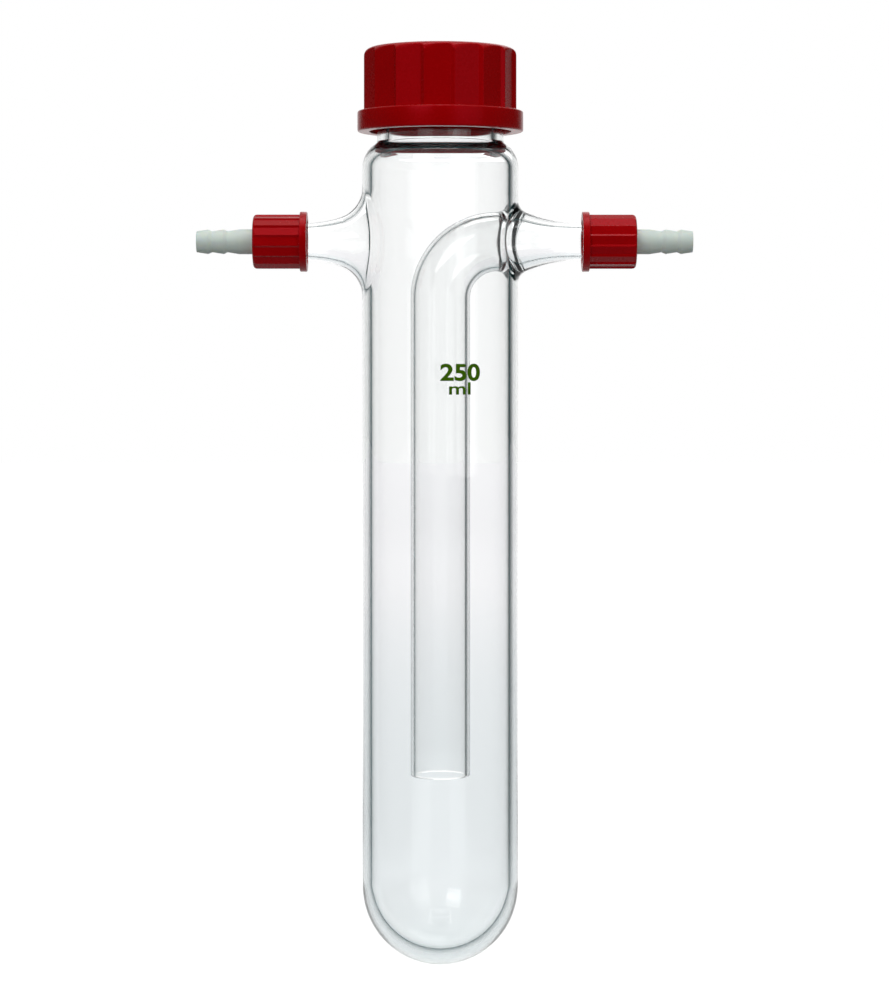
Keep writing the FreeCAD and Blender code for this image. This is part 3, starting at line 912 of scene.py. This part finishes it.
@dataclass
class FlutedCap:
    """A moulded screw cap: sawtooth flutes, a collar and an inner thread.

    The outline runs from the middle of the closed end over its edge, down the
    flutes, round the collar, up the threaded bore and back to the middle.
    Angles of the flutes are in degrees.
    """

    node: str
    body: str
    height: float
    radius: float
    collar_height: float
    collar_round: float
    end_wall: float
    end_round: float
    bore: float
    flute_depth: float
    flute_step: float
    flute_start: float
    pitch: float
    thread: float
    panel: float = 0.0
    panel_depth: float = 0.0
    panel_round: float = 0.3
    aperture: float = 0.0
    brink_round: float = 0.2
    lip: float = 0.25
    flutes: int = 16
    crease: float = 0.35
    crease_foot: float = 1.4

    @property
    def sector(self) -> float:
        """Angle from one flute to the next."""
        return 360.0 / self.flutes

    @property
    def ridge(self) -> Thread:
        """The thread inside the bore."""
        return Thread(first=1.2, pitch=self.pitch, turns=2.6, width=self.pitch * 0.7,
                      height=self.thread)

    def columns(self) -> np.ndarray:
        """Angles of the columns, crowded at each flute's corners, in radians."""
        last = self.sector - self.flute_step
        inside = np.array([0.0, self.crease, self.crease_foot, 0.28 * last, 0.5 * last,
                           0.72 * last, last - self.crease_foot, last - self.crease, last,
                           last + 0.3, last + 0.5 * self.flute_step, self.sector - 0.3])
        starts = np.arange(self.flutes)[:, None] * self.sector
        return np.radians((starts + inside + self.flute_start - 90.0).ravel())

    def flute_radius(self, angles: np.ndarray) -> np.ndarray:
        """Radius of the flutes: a flat that deepens, then a flat back out.

        Each flat is the straight line between its two corners, whose radius at
        an angle is the first corner's cross product with the second over the
        cross product of the ray with the way between them.

        Args:
            angles: Angles of the columns, in radians.

        Returns:
            The radius at each column.
        """
        turn = math.radians(self.sector)
        last = turn - math.radians(self.flute_step)
        phase = np.mod(angles - math.radians(self.flute_start - 90.0) + 1e-9, turn)
        low = self.radius - self.flute_depth
        on_flat = phase < last
        a0 = np.where(on_flat, 0.0, last)
        a1 = np.where(on_flat, last, turn)
        r0 = np.where(on_flat, self.radius, low)
        r1 = np.where(on_flat, low, self.radius)
        return r0 * r1 * np.sin(a1 - a0) / (r0 * np.sin(phase - a0)
                                            + r1 * np.sin(a1 - phase))

    def crown(self) -> list[np.ndarray]:
        """Runs from the middle, or the aperture, to the brink of the end's flat."""
        top, brink, corner = self.height, self.brink_round, self.panel_round
        if self.aperture:
            return [arc_points((self.aperture + brink, top - brink), brink, 180, 90, 4)]
        floor = top - self.panel_depth
        return [run_points((0.0, floor), (self.panel - corner, floor), 6),
                arc_points((self.panel - corner, floor + corner), corner, -90, 0, 4),
                arc_points((self.panel + brink, top - brink), brink, 180, 90, 4)]

    def outline(self) -> tuple[np.ndarray, np.ndarray]:
        """Outline of the cap and which of its points the flutes may cut.

        Returns:
            Pairs of radius and height, and a flag for each pair.
        """
        top, edge, small, lip = self.height, self.end_round, self.collar_round, self.lip
        collar_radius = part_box(self.node)[1][1] / MM
        start, under_end = self.aperture, top - self.end_wall
        crown = self.crown()
        flat = run_points(crown[-1][-1], (self.radius - edge, top), 4)
        fluted = join_runs(
            arc_points((self.radius - edge, top - edge), edge, 90, 0, 18),
            run_points((self.radius, top - edge), (self.radius, self.collar_height), 6))
        collar = join_runs(
            arc_points((collar_radius - small, self.collar_height - small), small, 90, 0, 5),
            arc_points((collar_radius - small, small), small, 0, -90, 5))
        bore = join_runs(
            arc_points((self.bore + lip, lip), lip, -90, -180, 4),
            run_points((self.bore, lip), (self.bore, under_end), 60))
        under = run_points((self.bore, under_end), (start, under_end), 4)
        parts = [*crown, flat, fluted, collar, bore, under]
        if self.aperture:
            parts.append(run_points((start, under_end), (start, top - self.brink_round), 3))
        flags = [np.full(len(part), part is fluted) for part in parts]
        return np.concatenate(parts), np.concatenate(flags)

    def surface(self) -> np.ndarray:
        """Grid of the whole cap along +Z, with its open end at height 0."""
        outline, fluted = self.outline()
        angles = self.columns()
        radius = np.broadcast_to(outline[:, :1], (len(outline), len(angles)))
        cut = np.minimum(radius, self.flute_radius(angles))
        radius = np.where(fluted[:, None], cut, radius)
        height = np.broadcast_to(outline[:, 1:], radius.shape)
        in_bore = np.abs(outline[:, :1] - self.bore) < 1e-6
        radius = radius - np.where(in_bore, self.ridge.ridge(height, angles / TURN), 0.0)
        return np.stack([radius * np.cos(angles), radius * np.sin(angles), height],
                        axis=-1)

    def build(self, finish: bpy.types.Material,
              turn: Callable[[np.ndarray], np.ndarray]) -> bpy.types.Object:
        """Build the cap in the place of its solid.

        Args:
            finish: The plastic's material.
            turn: Puts a grid made along +Z where the cap sits.

        Returns:
            The finished object.
        """
        skin = Skin()
        skin.add(turn(self.surface()))
        piece = skin.build(self.node + "_moulding", finish)
        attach(piece, self.body)
        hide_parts(self.node)
        return piece


@dataclass
class HoseConnector:
    """A barbed connector turned about its own axis, with softened edges."""

    side: Side
    foot: float = 6.0
    foot_thick: float = 1.5
    collar: float = 4.6
    collar_end: float = 3.3
    stem: float = 4.0
    crest: float = 3.95
    root: float = 3.375
    ramp: float = 3.7
    step: float = 1.3
    bore: float = 2.4
    bevel: float = 0.35
    soft: float = 0.15
    barbs: int = 2
    columns: int = 96

    def outline(self, length: float) -> np.ndarray:
        """Outline from the foot over the barbs to the tip and down the bore.

        Each corner is cut back by the softness, and the cut is bridged by a
        quadratic curve that has the corner as its middle point.
        """
        start = length - self.barbs * (self.ramp + self.step)
        corners = [(self.bore, 0.0), (self.foot, 0.0), (self.foot, self.foot_thick),
                   (self.collar, self.foot_thick), (self.collar, self.collar_end),
                   (self.stem, self.collar_end), (self.stem, start - self.ramp)]
        for index in range(self.barbs):
            behind = start + index * (self.ramp + self.step)
            corners += [(self.root, behind), (self.crest, behind + self.step)]
        corners += [(self.root, length), (self.bore + self.bevel, length),
                    (self.bore, length - self.bevel)]
        points = np.array(corners)
        before = points - np.roll(points, 1, axis=0)
        after = np.roll(points, -1, axis=0) - points
        long_before = np.linalg.norm(before, axis=1)
        long_after = np.linalg.norm(after, axis=1)
        cut = np.minimum(self.soft, 0.4 * np.minimum(long_before, long_after))[:, None]
        enter = points - before / long_before[:, None] * cut
        leave = points + after / long_after[:, None] * cut
        share = np.linspace(0.0, 1.0, 5)[None, :, None]
        curve = ((1 - share) ** 2 * enter[:, None] + 2 * share * (1 - share) * points[:, None]
                 + share ** 2 * leave[:, None])
        return curve.reshape(-1, 2)

    def build(self, finish: bpy.types.Material) -> bpy.types.Object:
        """Build the connector in the place of its solid."""
        node = self.side.word + "_hose_connector"
        length, near, height = arm_seat(node, self.side)
        outline = self.outline(length)
        outline = np.concatenate([outline, outline[:1]])
        angles = np.arange(self.columns) * TURN / self.columns
        skin = Skin()
        skin.add(onto_arm(revolve(outline, angles), self.side, near, height))
        piece = skin.build(node + "_moulding", finish)
        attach(piece, self.side.word + "_connector_body")
        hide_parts(node)
        return piece


def arm_seat(node: str, side: Side) -> tuple[float, float, float]:
    """Length of a piece on an arm, its distance along the arm and its height."""
    low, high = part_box(node)
    near = low[0] if side is Side.RIGHT else -high[0]
    return (high[0] - low[0]) / MM, near / MM, (low[2] + high[2]) / 2 / MM


def onto_arm(grid: np.ndarray, side: Side, distance: float, height: float) -> np.ndarray:
    """Turn a grid made along +Z outwards along an arm.

    Args:
        grid: Points in millimetres.
        side: The side of the vessel.
        distance: Where the grid's height 0 goes, along the arm.
        height: Height of the arm's axis.

    Returns:
        The grid with its height along the arm, turned a quarter about Y.
    """
    sign = side.value
    return np.stack([sign * (grid[..., 2] + distance), grid[..., 1],
                     height - sign * grid[..., 0]], axis=-1)


@dataclass
class CapSet:
    """The large cap on the neck and the two aperture caps on the arms."""

    finish: bpy.types.Material

    def large(self) -> bpy.types.Object:
        """Build the large cap, which closes the neck."""
        low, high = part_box("screw_cap")
        cap = FlutedCap(node="screw_cap", body="cap_body",
                        height=(high[2] - low[2]) / MM, radius=24.8,
                        collar_height=6.6, collar_round=0.6, end_wall=2.6,
                        end_round=3.0, bore=22.8, flute_depth=0.9, flute_step=2.9,
                        flute_start=10.75, pitch=4.0, thread=0.35, panel=19.0,
                        panel_depth=0.5)
        base = low[2] / MM
        return cap.build(self.finish, lambda grid: grid + np.array([0.0, 0.0, base]))

    def small(self, side: Side) -> bpy.types.Object:
        """Build one aperture cap, which clamps a hose connector."""
        node = side.word + "_cap"
        length, near, height = arm_seat(node, side)
        cap = FlutedCap(node=node, body=side.word + "_cap_body",
                        height=length, radius=8.8,
                        collar_height=2.3, collar_round=0.3, end_wall=1.8,
                        end_round=1.3, bore=7.2, flute_depth=0.45, flute_step=4.0,
                        flute_start=12.0, pitch=2.5, thread=0.2, aperture=4.9)
        return cap.build(self.finish, lambda grid: onto_arm(grid, side, near, height))


# ------------------------------------------------------------------ marking

@dataclass
class CapacityMark:
    """The capacity in plain figures, fired onto the front of the vessel."""

    finish: bpy.types.Material
    radius: float
    proud: float = 0.02
    thick: float = 0.03
    strip: float = 0.4
    half_width: float = 8.0

    def letters(self, words: str, size: float, heavy: float) -> bpy.types.Mesh:
        """Flat mesh of some figures, cut into upright strips so it can curve."""
        curve = bpy.data.curves.new(words, "FONT")
        curve.body = words
        curve.size = size
        curve.offset = heavy
        curve.align_x = "CENTER"
        curve.align_y = "CENTER"
        thing = add_object(words, curve)
        bpy.context.view_layer.update()
        mesh = bpy.data.meshes.new_from_object(thing)
        bpy.data.objects.remove(thing)
        work = bmesh.new()
        work.from_mesh(mesh)
        bmesh.ops.triangulate(work, faces=work.faces)
        for place in np.arange(-self.half_width, self.half_width, self.strip):
            everything = work.verts[:] + work.edges[:] + work.faces[:]
            bmesh.ops.bisect_plane(work, geom=everything, plane_co=(place, 0, 0),
                                   plane_no=(1, 0, 0))
        work.to_mesh(mesh)
        work.free()
        return mesh

    def build(self, name: str, words: str, size: float, heavy: float,
              across: float, height: float, wide: float) -> bpy.types.Object:
        """Wrap some figures round the vessel's front.

        Args:
            name: Name of the piece.
            words: The figures.
            size: Size of the type.
            heavy: How much each stroke is widened.
            across: Arc length from the front to the middle of the figures.
            height: Height of their middle.
            wide: How much wider the figures are than the plain type.

        Returns:
            The finished object.
        """
        mesh = self.letters(words, size, heavy)
        flat = np.empty(len(mesh.vertices) * 3)
        mesh.vertices.foreach_get("co", flat)
        flat = flat.reshape(-1, 3)
        reach = self.radius + self.proud
        angle = (flat[:, 0] * wide + across) / reach - math.pi / 2
        wrapped = np.stack([reach * np.cos(angle), reach * np.sin(angle),
                            flat[:, 1] + height], axis=1) * MM
        mesh.vertices.foreach_set("co", wrapped.ravel())
        mesh.update()
        mesh.materials.append(self.finish)
        piece = add_object(name, mesh)
        body = piece.modifiers.new("enamel", "SOLIDIFY")
        body.thickness = self.thick * MM
        body.offset = 1.0
        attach(piece, "glass_body")
        return piece


# ------------------------------------------------------------------ studio

@dataclass(frozen=True)
class Lamp:
    """A soft rectangular lamp that faces a point of the object."""

    name: str
    place: tuple[float, float, float]
    wide: float
    high: float
    power: float

    def hang(self, target: tuple[float, float, float]) -> None:
        """Hang the lamp and turn it to the target."""
        light = bpy.data.lights.new(self.name, "AREA")
        light.shape = "RECTANGLE"
        light.size = self.wide
        light.size_y = self.high
        light.energy = self.power
        thing = add_object(self.name, light)
        thing.location = self.place
        way = np.array(target) - np.array(self.place)
        thing.rotation_euler = Vector(way).to_track_quat("-Z", "Y").to_euler()


@dataclass
class Studio:
    """Pale floor, white surroundings, soft lamps and the camera.

    Ramps of the flanks, back, ceiling and backdrop follow a share of the way
    that a ray takes.  Ramps of the floor follow metres from the object's axis,
    and those for the floor seen through the glass add up, with a painted bright
    foot and a painted contact shadow round the object; seen in reflections, the
    floor has a painted pool of light round it.  Windows are slopes from the front.
    """

    eye: tuple[float, float, float] = (0.00135, -0.900, 0.0250)
    tilt: float = 0.802
    lens: float = 100.83
    sensor: float = 36.0
    shift: float = -0.11
    nearest: float = 0.01
    target: tuple[float, float, float] = (0.0, 0.0, 0.03)
    left_flank: Ramp = Ramp(-0.72, -0.45, 0.55, 1.0)
    right_flank: Ramp = Ramp(0.40, 0.72, 1.0, 0.15)
    back: Ramp = Ramp(0.76, 0.97, 0.02, 1.0)
    ceiling: Ramp = Ramp(0.25, 0.85, 0.0, 0.80)
    backdrop: Ramp = Ramp(0.25, 0.95, 1.10, 0.80)
    windows: tuple[tuple[float, float], ...] = ((-0.24, -0.86), (0.24, 0.72))
    window_glow: float = 0.85
    room_glow: float = 0.26
    floor_half: float = 4000.0
    floor_shade: float = 0.30
    floor_seen: Ramp = Ramp(0.5, 3.6, 0.91, 1.0)
    # Floor seen through the glass: dimmer towards the object, a painted bright foot within a
    # few millimetres of the contact, and a painted contact shadow round it.
    floor_through_with_painted_contact: tuple[Ramp, ...] = (
        Ramp(0.2, 1.9, 0.705, 0.93), Ramp(1.5, 4.0, 0.0, 0.055),
        Ramp(0.006, 0.012, 0.70, 0.0), Ramp(0.010, 0.035, -0.22, 0.0))
    # Floor seen in reflections: a painted pool of light round the object, dimmer further out.
    floor_mirrored_painted_pool: Ramp = Ramp(0.10, 0.35, 1.0, 0.25)
    floor_tinted: Ramp = Ramp(0.3, 1.6)
    near_tint: Colour = (0.935, 0.985, 1.01)
    far_tint: Colour = (1.0, 0.99, 1.01)
    paper: float = 0.25

    def choose(self, graph: Graph, options: dict[Ray, Socket], rest: Socket) -> Socket:
        """Pick a shader by the kind of ray; any other ray gets the rest."""
        path = graph.node("ShaderNodeLightPath").outputs
        for ray, shader in options.items():
            rest = graph.either(path[ray.value], rest, shader)
        return rest

    def glow(self, graph: Graph, strength: object) -> Socket:
        """White background of a strength given as a number or a socket."""
        return graph.node("ShaderNodeBackground", {"Strength": strength,
                                                   "Color": opaque(WHITE)}).outputs[0]

    def ways(self, graph: Graph, place: Socket) -> list[Socket]:
        """Across, along and up shares of the way that a place lies in."""
        unit = graph.node("ShaderNodeVectorMath", {0: place}, operation="NORMALIZE")
        return list(graph.node("ShaderNodeSeparateXYZ", {0: unit.outputs[0]}).outputs)

    def flanks(self, graph: Graph, across: Socket) -> Socket:
        """Share of the light that is left towards the two sides of the studio."""
        return graph.product(graph.ease(across, self.left_flank),
                             graph.ease(across, self.right_flank))

    def lit_ways(self, graph: Graph, across: Socket, along: Socket) -> Socket:
        """Light that reflections meet level with the object.

        Args:
            graph: The node tree.
            across: Share of the way that runs to the right.
            along: Share of the way that runs to the back.

        Returns:
            Bright towards the back, and two soft windows towards the front.
        """
        lit = graph.ease(along, self.back)
        before = graph.maths("MAXIMUM", graph.maths("MULTIPLY", along, -1.0), 0.01)
        slope = graph.maths("DIVIDE", across, before)
        for inner, outer in self.windows:
            opens = graph.ease(slope, Ramp(outer * 1.1, outer * 0.95, 0.0, 1.0))
            shuts = graph.ease(slope, Ramp(inner * 1.1, inner * 0.9, 1.0, 0.0))
            pane = graph.product(opens, shuts, self.window_glow)
            lit = graph.maths("MAXIMUM", lit, pane)
        return lit

    def surroundings(self) -> None:
        """White behind the object; a lit back and ceiling in its reflections."""
        world = bpy.data.worlds.new("studio")
        bpy.context.scene.world = world
        world.use_nodes = True
        graph = Graph(world.node_tree)
        place = graph.node("ShaderNodeTexCoord").outputs["Generated"]
        across, along, up = self.ways(graph, place)
        mirrored = graph.maths("MAXIMUM", self.lit_ways(graph, across, along),
                               graph.ease(up, self.ceiling))
        shown = graph.product(graph.ease(up, self.backdrop), self.flanks(graph, across))
        options = {Ray.GLOSSY: self.glow(graph, mirrored),
                   Ray.TRANSMISSION: self.glow(graph, shown),
                   Ray.CAMERA: self.glow(graph, 1.0)}
        seen = self.choose(graph, options, self.glow(graph, self.room_glow))
        graph.feed(world.node_tree.nodes["World Output"], {0: seen})

    def floor_finish(self) -> bpy.types.Material:
        """Material of the floor: its own light, apart for each kind of ray."""
        material, graph = new_material("studio_floor")
        nodes = material.node_tree.nodes
        nodes.remove(nodes["Principled BSDF"])
        place = graph.node("ShaderNodeTexCoord").outputs["Object"]
        reach = graph.node("ShaderNodeVectorMath", {0: place}, operation="LENGTH")
        distance = reach.outputs["Value"]
        across, along, _ = self.ways(graph, place)
        # The glow seen through the glass adds up its ramps, the painted foot and contact shadow
        # among them.
        first, *others = [graph.ease(distance, ramp) for ramp in self.floor_through_with_painted_contact]
        for other in others:
            first = graph.maths("ADD", first, other)
        through = graph.product(first, self.flanks(graph, across))
        # Painted pool of light round the object, as reflections see the floor.
        mirrored = graph.maths("MAXIMUM", graph.ease(distance, self.floor_mirrored_painted_pool),
                               self.lit_ways(graph, across, along))
        tint = graph.blend(graph.ease(distance, self.floor_tinted), self.near_tint,
                           self.far_tint)
        lights = {Ray.GLOSSY: {"Strength": mirrored},
                  Ray.TRANSMISSION: {"Strength": through, "Color": tint},
                  Ray.CAMERA: {"Strength": graph.ease(distance, self.floor_seen)}}
        lit = {}
        for ray, light in lights.items():
            glow = graph.node("ShaderNodeEmission", light).outputs[0]
            shade = graph.matt([self.floor_shade] * 3)
            lit[ray] = graph.node("ShaderNodeAddShader", {0: shade, 1: glow}).outputs[0]
        seen = self.choose(graph, lit, graph.matt([self.paper] * 3))
        graph.feed(nodes["Material Output"], {"Surface": seen})
        return material

    def floor(self, height: float) -> None:
        """Pale floor that keeps the object's shadow and ends in white."""
        edges = np.array([-self.floor_half, self.floor_half])
        across, along = np.meshgrid(edges, edges)
        skin = Skin()
        skin.add(np.stack([across, along, np.full_like(across, height / MM)], axis=-1),
                 ring=False)
        skin.build("studio_floor", self.floor_finish())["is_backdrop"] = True

    def camera(self) -> None:
        """Nearly level view from the front, a little below the side arms."""
        data = bpy.data.cameras.new("camera")
        data.lens = self.lens
        data.sensor_width = self.sensor
        data.shift_y = self.shift
        data.clip_start = self.nearest
        thing = add_object("camera", data)
        thing.location = self.eye
        thing.rotation_euler = (math.radians(90.0 - self.tilt), 0.0, 0.0)
        bpy.context.scene.camera = thing

    def light(self) -> None:
        """Hang the lamps round the object."""
        for lamp in (Lamp("key", (-0.8, -1.5, 1.0), wide=0.9, high=0.9, power=9.0),
                     Lamp("fill", (1.2, -1.4, 0.69), wide=1.2, high=1.7, power=6.5),
                     Lamp("top", (0.0, -0.2, 1.5), wide=1.0, high=1.0, power=9.0),
                     Lamp("back", (0.3, 1.5, 0.9), wide=0.9, high=0.9, power=2.0)):
            lamp.hang(self.target)

    def set_up(self, floor_height: float) -> None:
        """Build the whole studio round the object."""
        bpy.context.scene.view_settings.view_transform = "Standard"
        self.surroundings()
        self.floor(floor_height)
        self.camera()
        self.light()


# ------------------------------------------------------------------ scene

def dress(node: str, finish: bpy.types.Material) -> None:
    """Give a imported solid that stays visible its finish."""
    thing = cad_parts[node]
    thing.data.materials.clear()
    thing.data.materials.append(finish)


def report(piece: bpy.types.Object) -> None:
    """Log a piece's name and size."""
    LOG.info("%s: %d faces", piece.name, len(piece.data.polygons))


def main() -> None:
    """Build every piece of the scene in order."""
    logging.basicConfig(level=logging.INFO)
    cad_low, cad_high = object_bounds()
    red = MouldedFinish("red_moulding", deep=(0.34, 0.0002, 0.0006),
                        light=(0.41, 0.0004, 0.001), shine=0.22, dull=0.32, relief=0.015,
                        gloss_tint=(0.8, 0.05, 0.10), gloss=0.40).make()
    white = MouldedFinish("natural_moulding", deep=(0.66, 0.76, 0.70),
                          light=(0.72, 0.81, 0.76), shine=0.40, dull=0.52,
                          glow=0.5).make()
    silicone = MouldedFinish("silicone", deep=(0.70, 0.66, 0.62), light=(0.76, 0.73, 0.69),
                             shine=0.5, dull=0.62, glow=0.2).make()
    facing = MouldedFinish("seal_film", deep=(0.84, 0.83, 0.80), light=(0.88, 0.87, 0.85),
                           shine=0.35, dull=0.45).make()
    enamel = MouldedFinish("green_enamel", deep=(0.045, 0.13, 0.002),
                           light=(0.065, 0.17, 0.004), shine=0.5, dull=0.65, relief=0.08,
                           gloss_tint=(0.3, 0.5, 0.1), gloss=0.2).make()
    vessel = GlassVessel(ClearGlass())
    report(vessel.build())
    caps = CapSet(red)
    report(caps.large())
    for side in Side:
        report(caps.small(side))
        report(HoseConnector(side).build(white))
        dress(side.word + "_sealing_ring", silicone)
    dress("cap_seal", silicone)
    dress("cap_seal_facing", facing)
    mark = CapacityMark(enamel, vessel.radius)
    report(mark.build("capacity_figures", "250", size=7.2, heavy=0.22, across=6.5,
                      height=17.95, wide=1.21))
    report(mark.build("capacity_unit", "ml", size=5.4, heavy=0.09, across=6.3,
                      height=13.0, wide=1.44))
    Studio().set_up(cad_low[2])


if __name__ == "__main__":
    main()
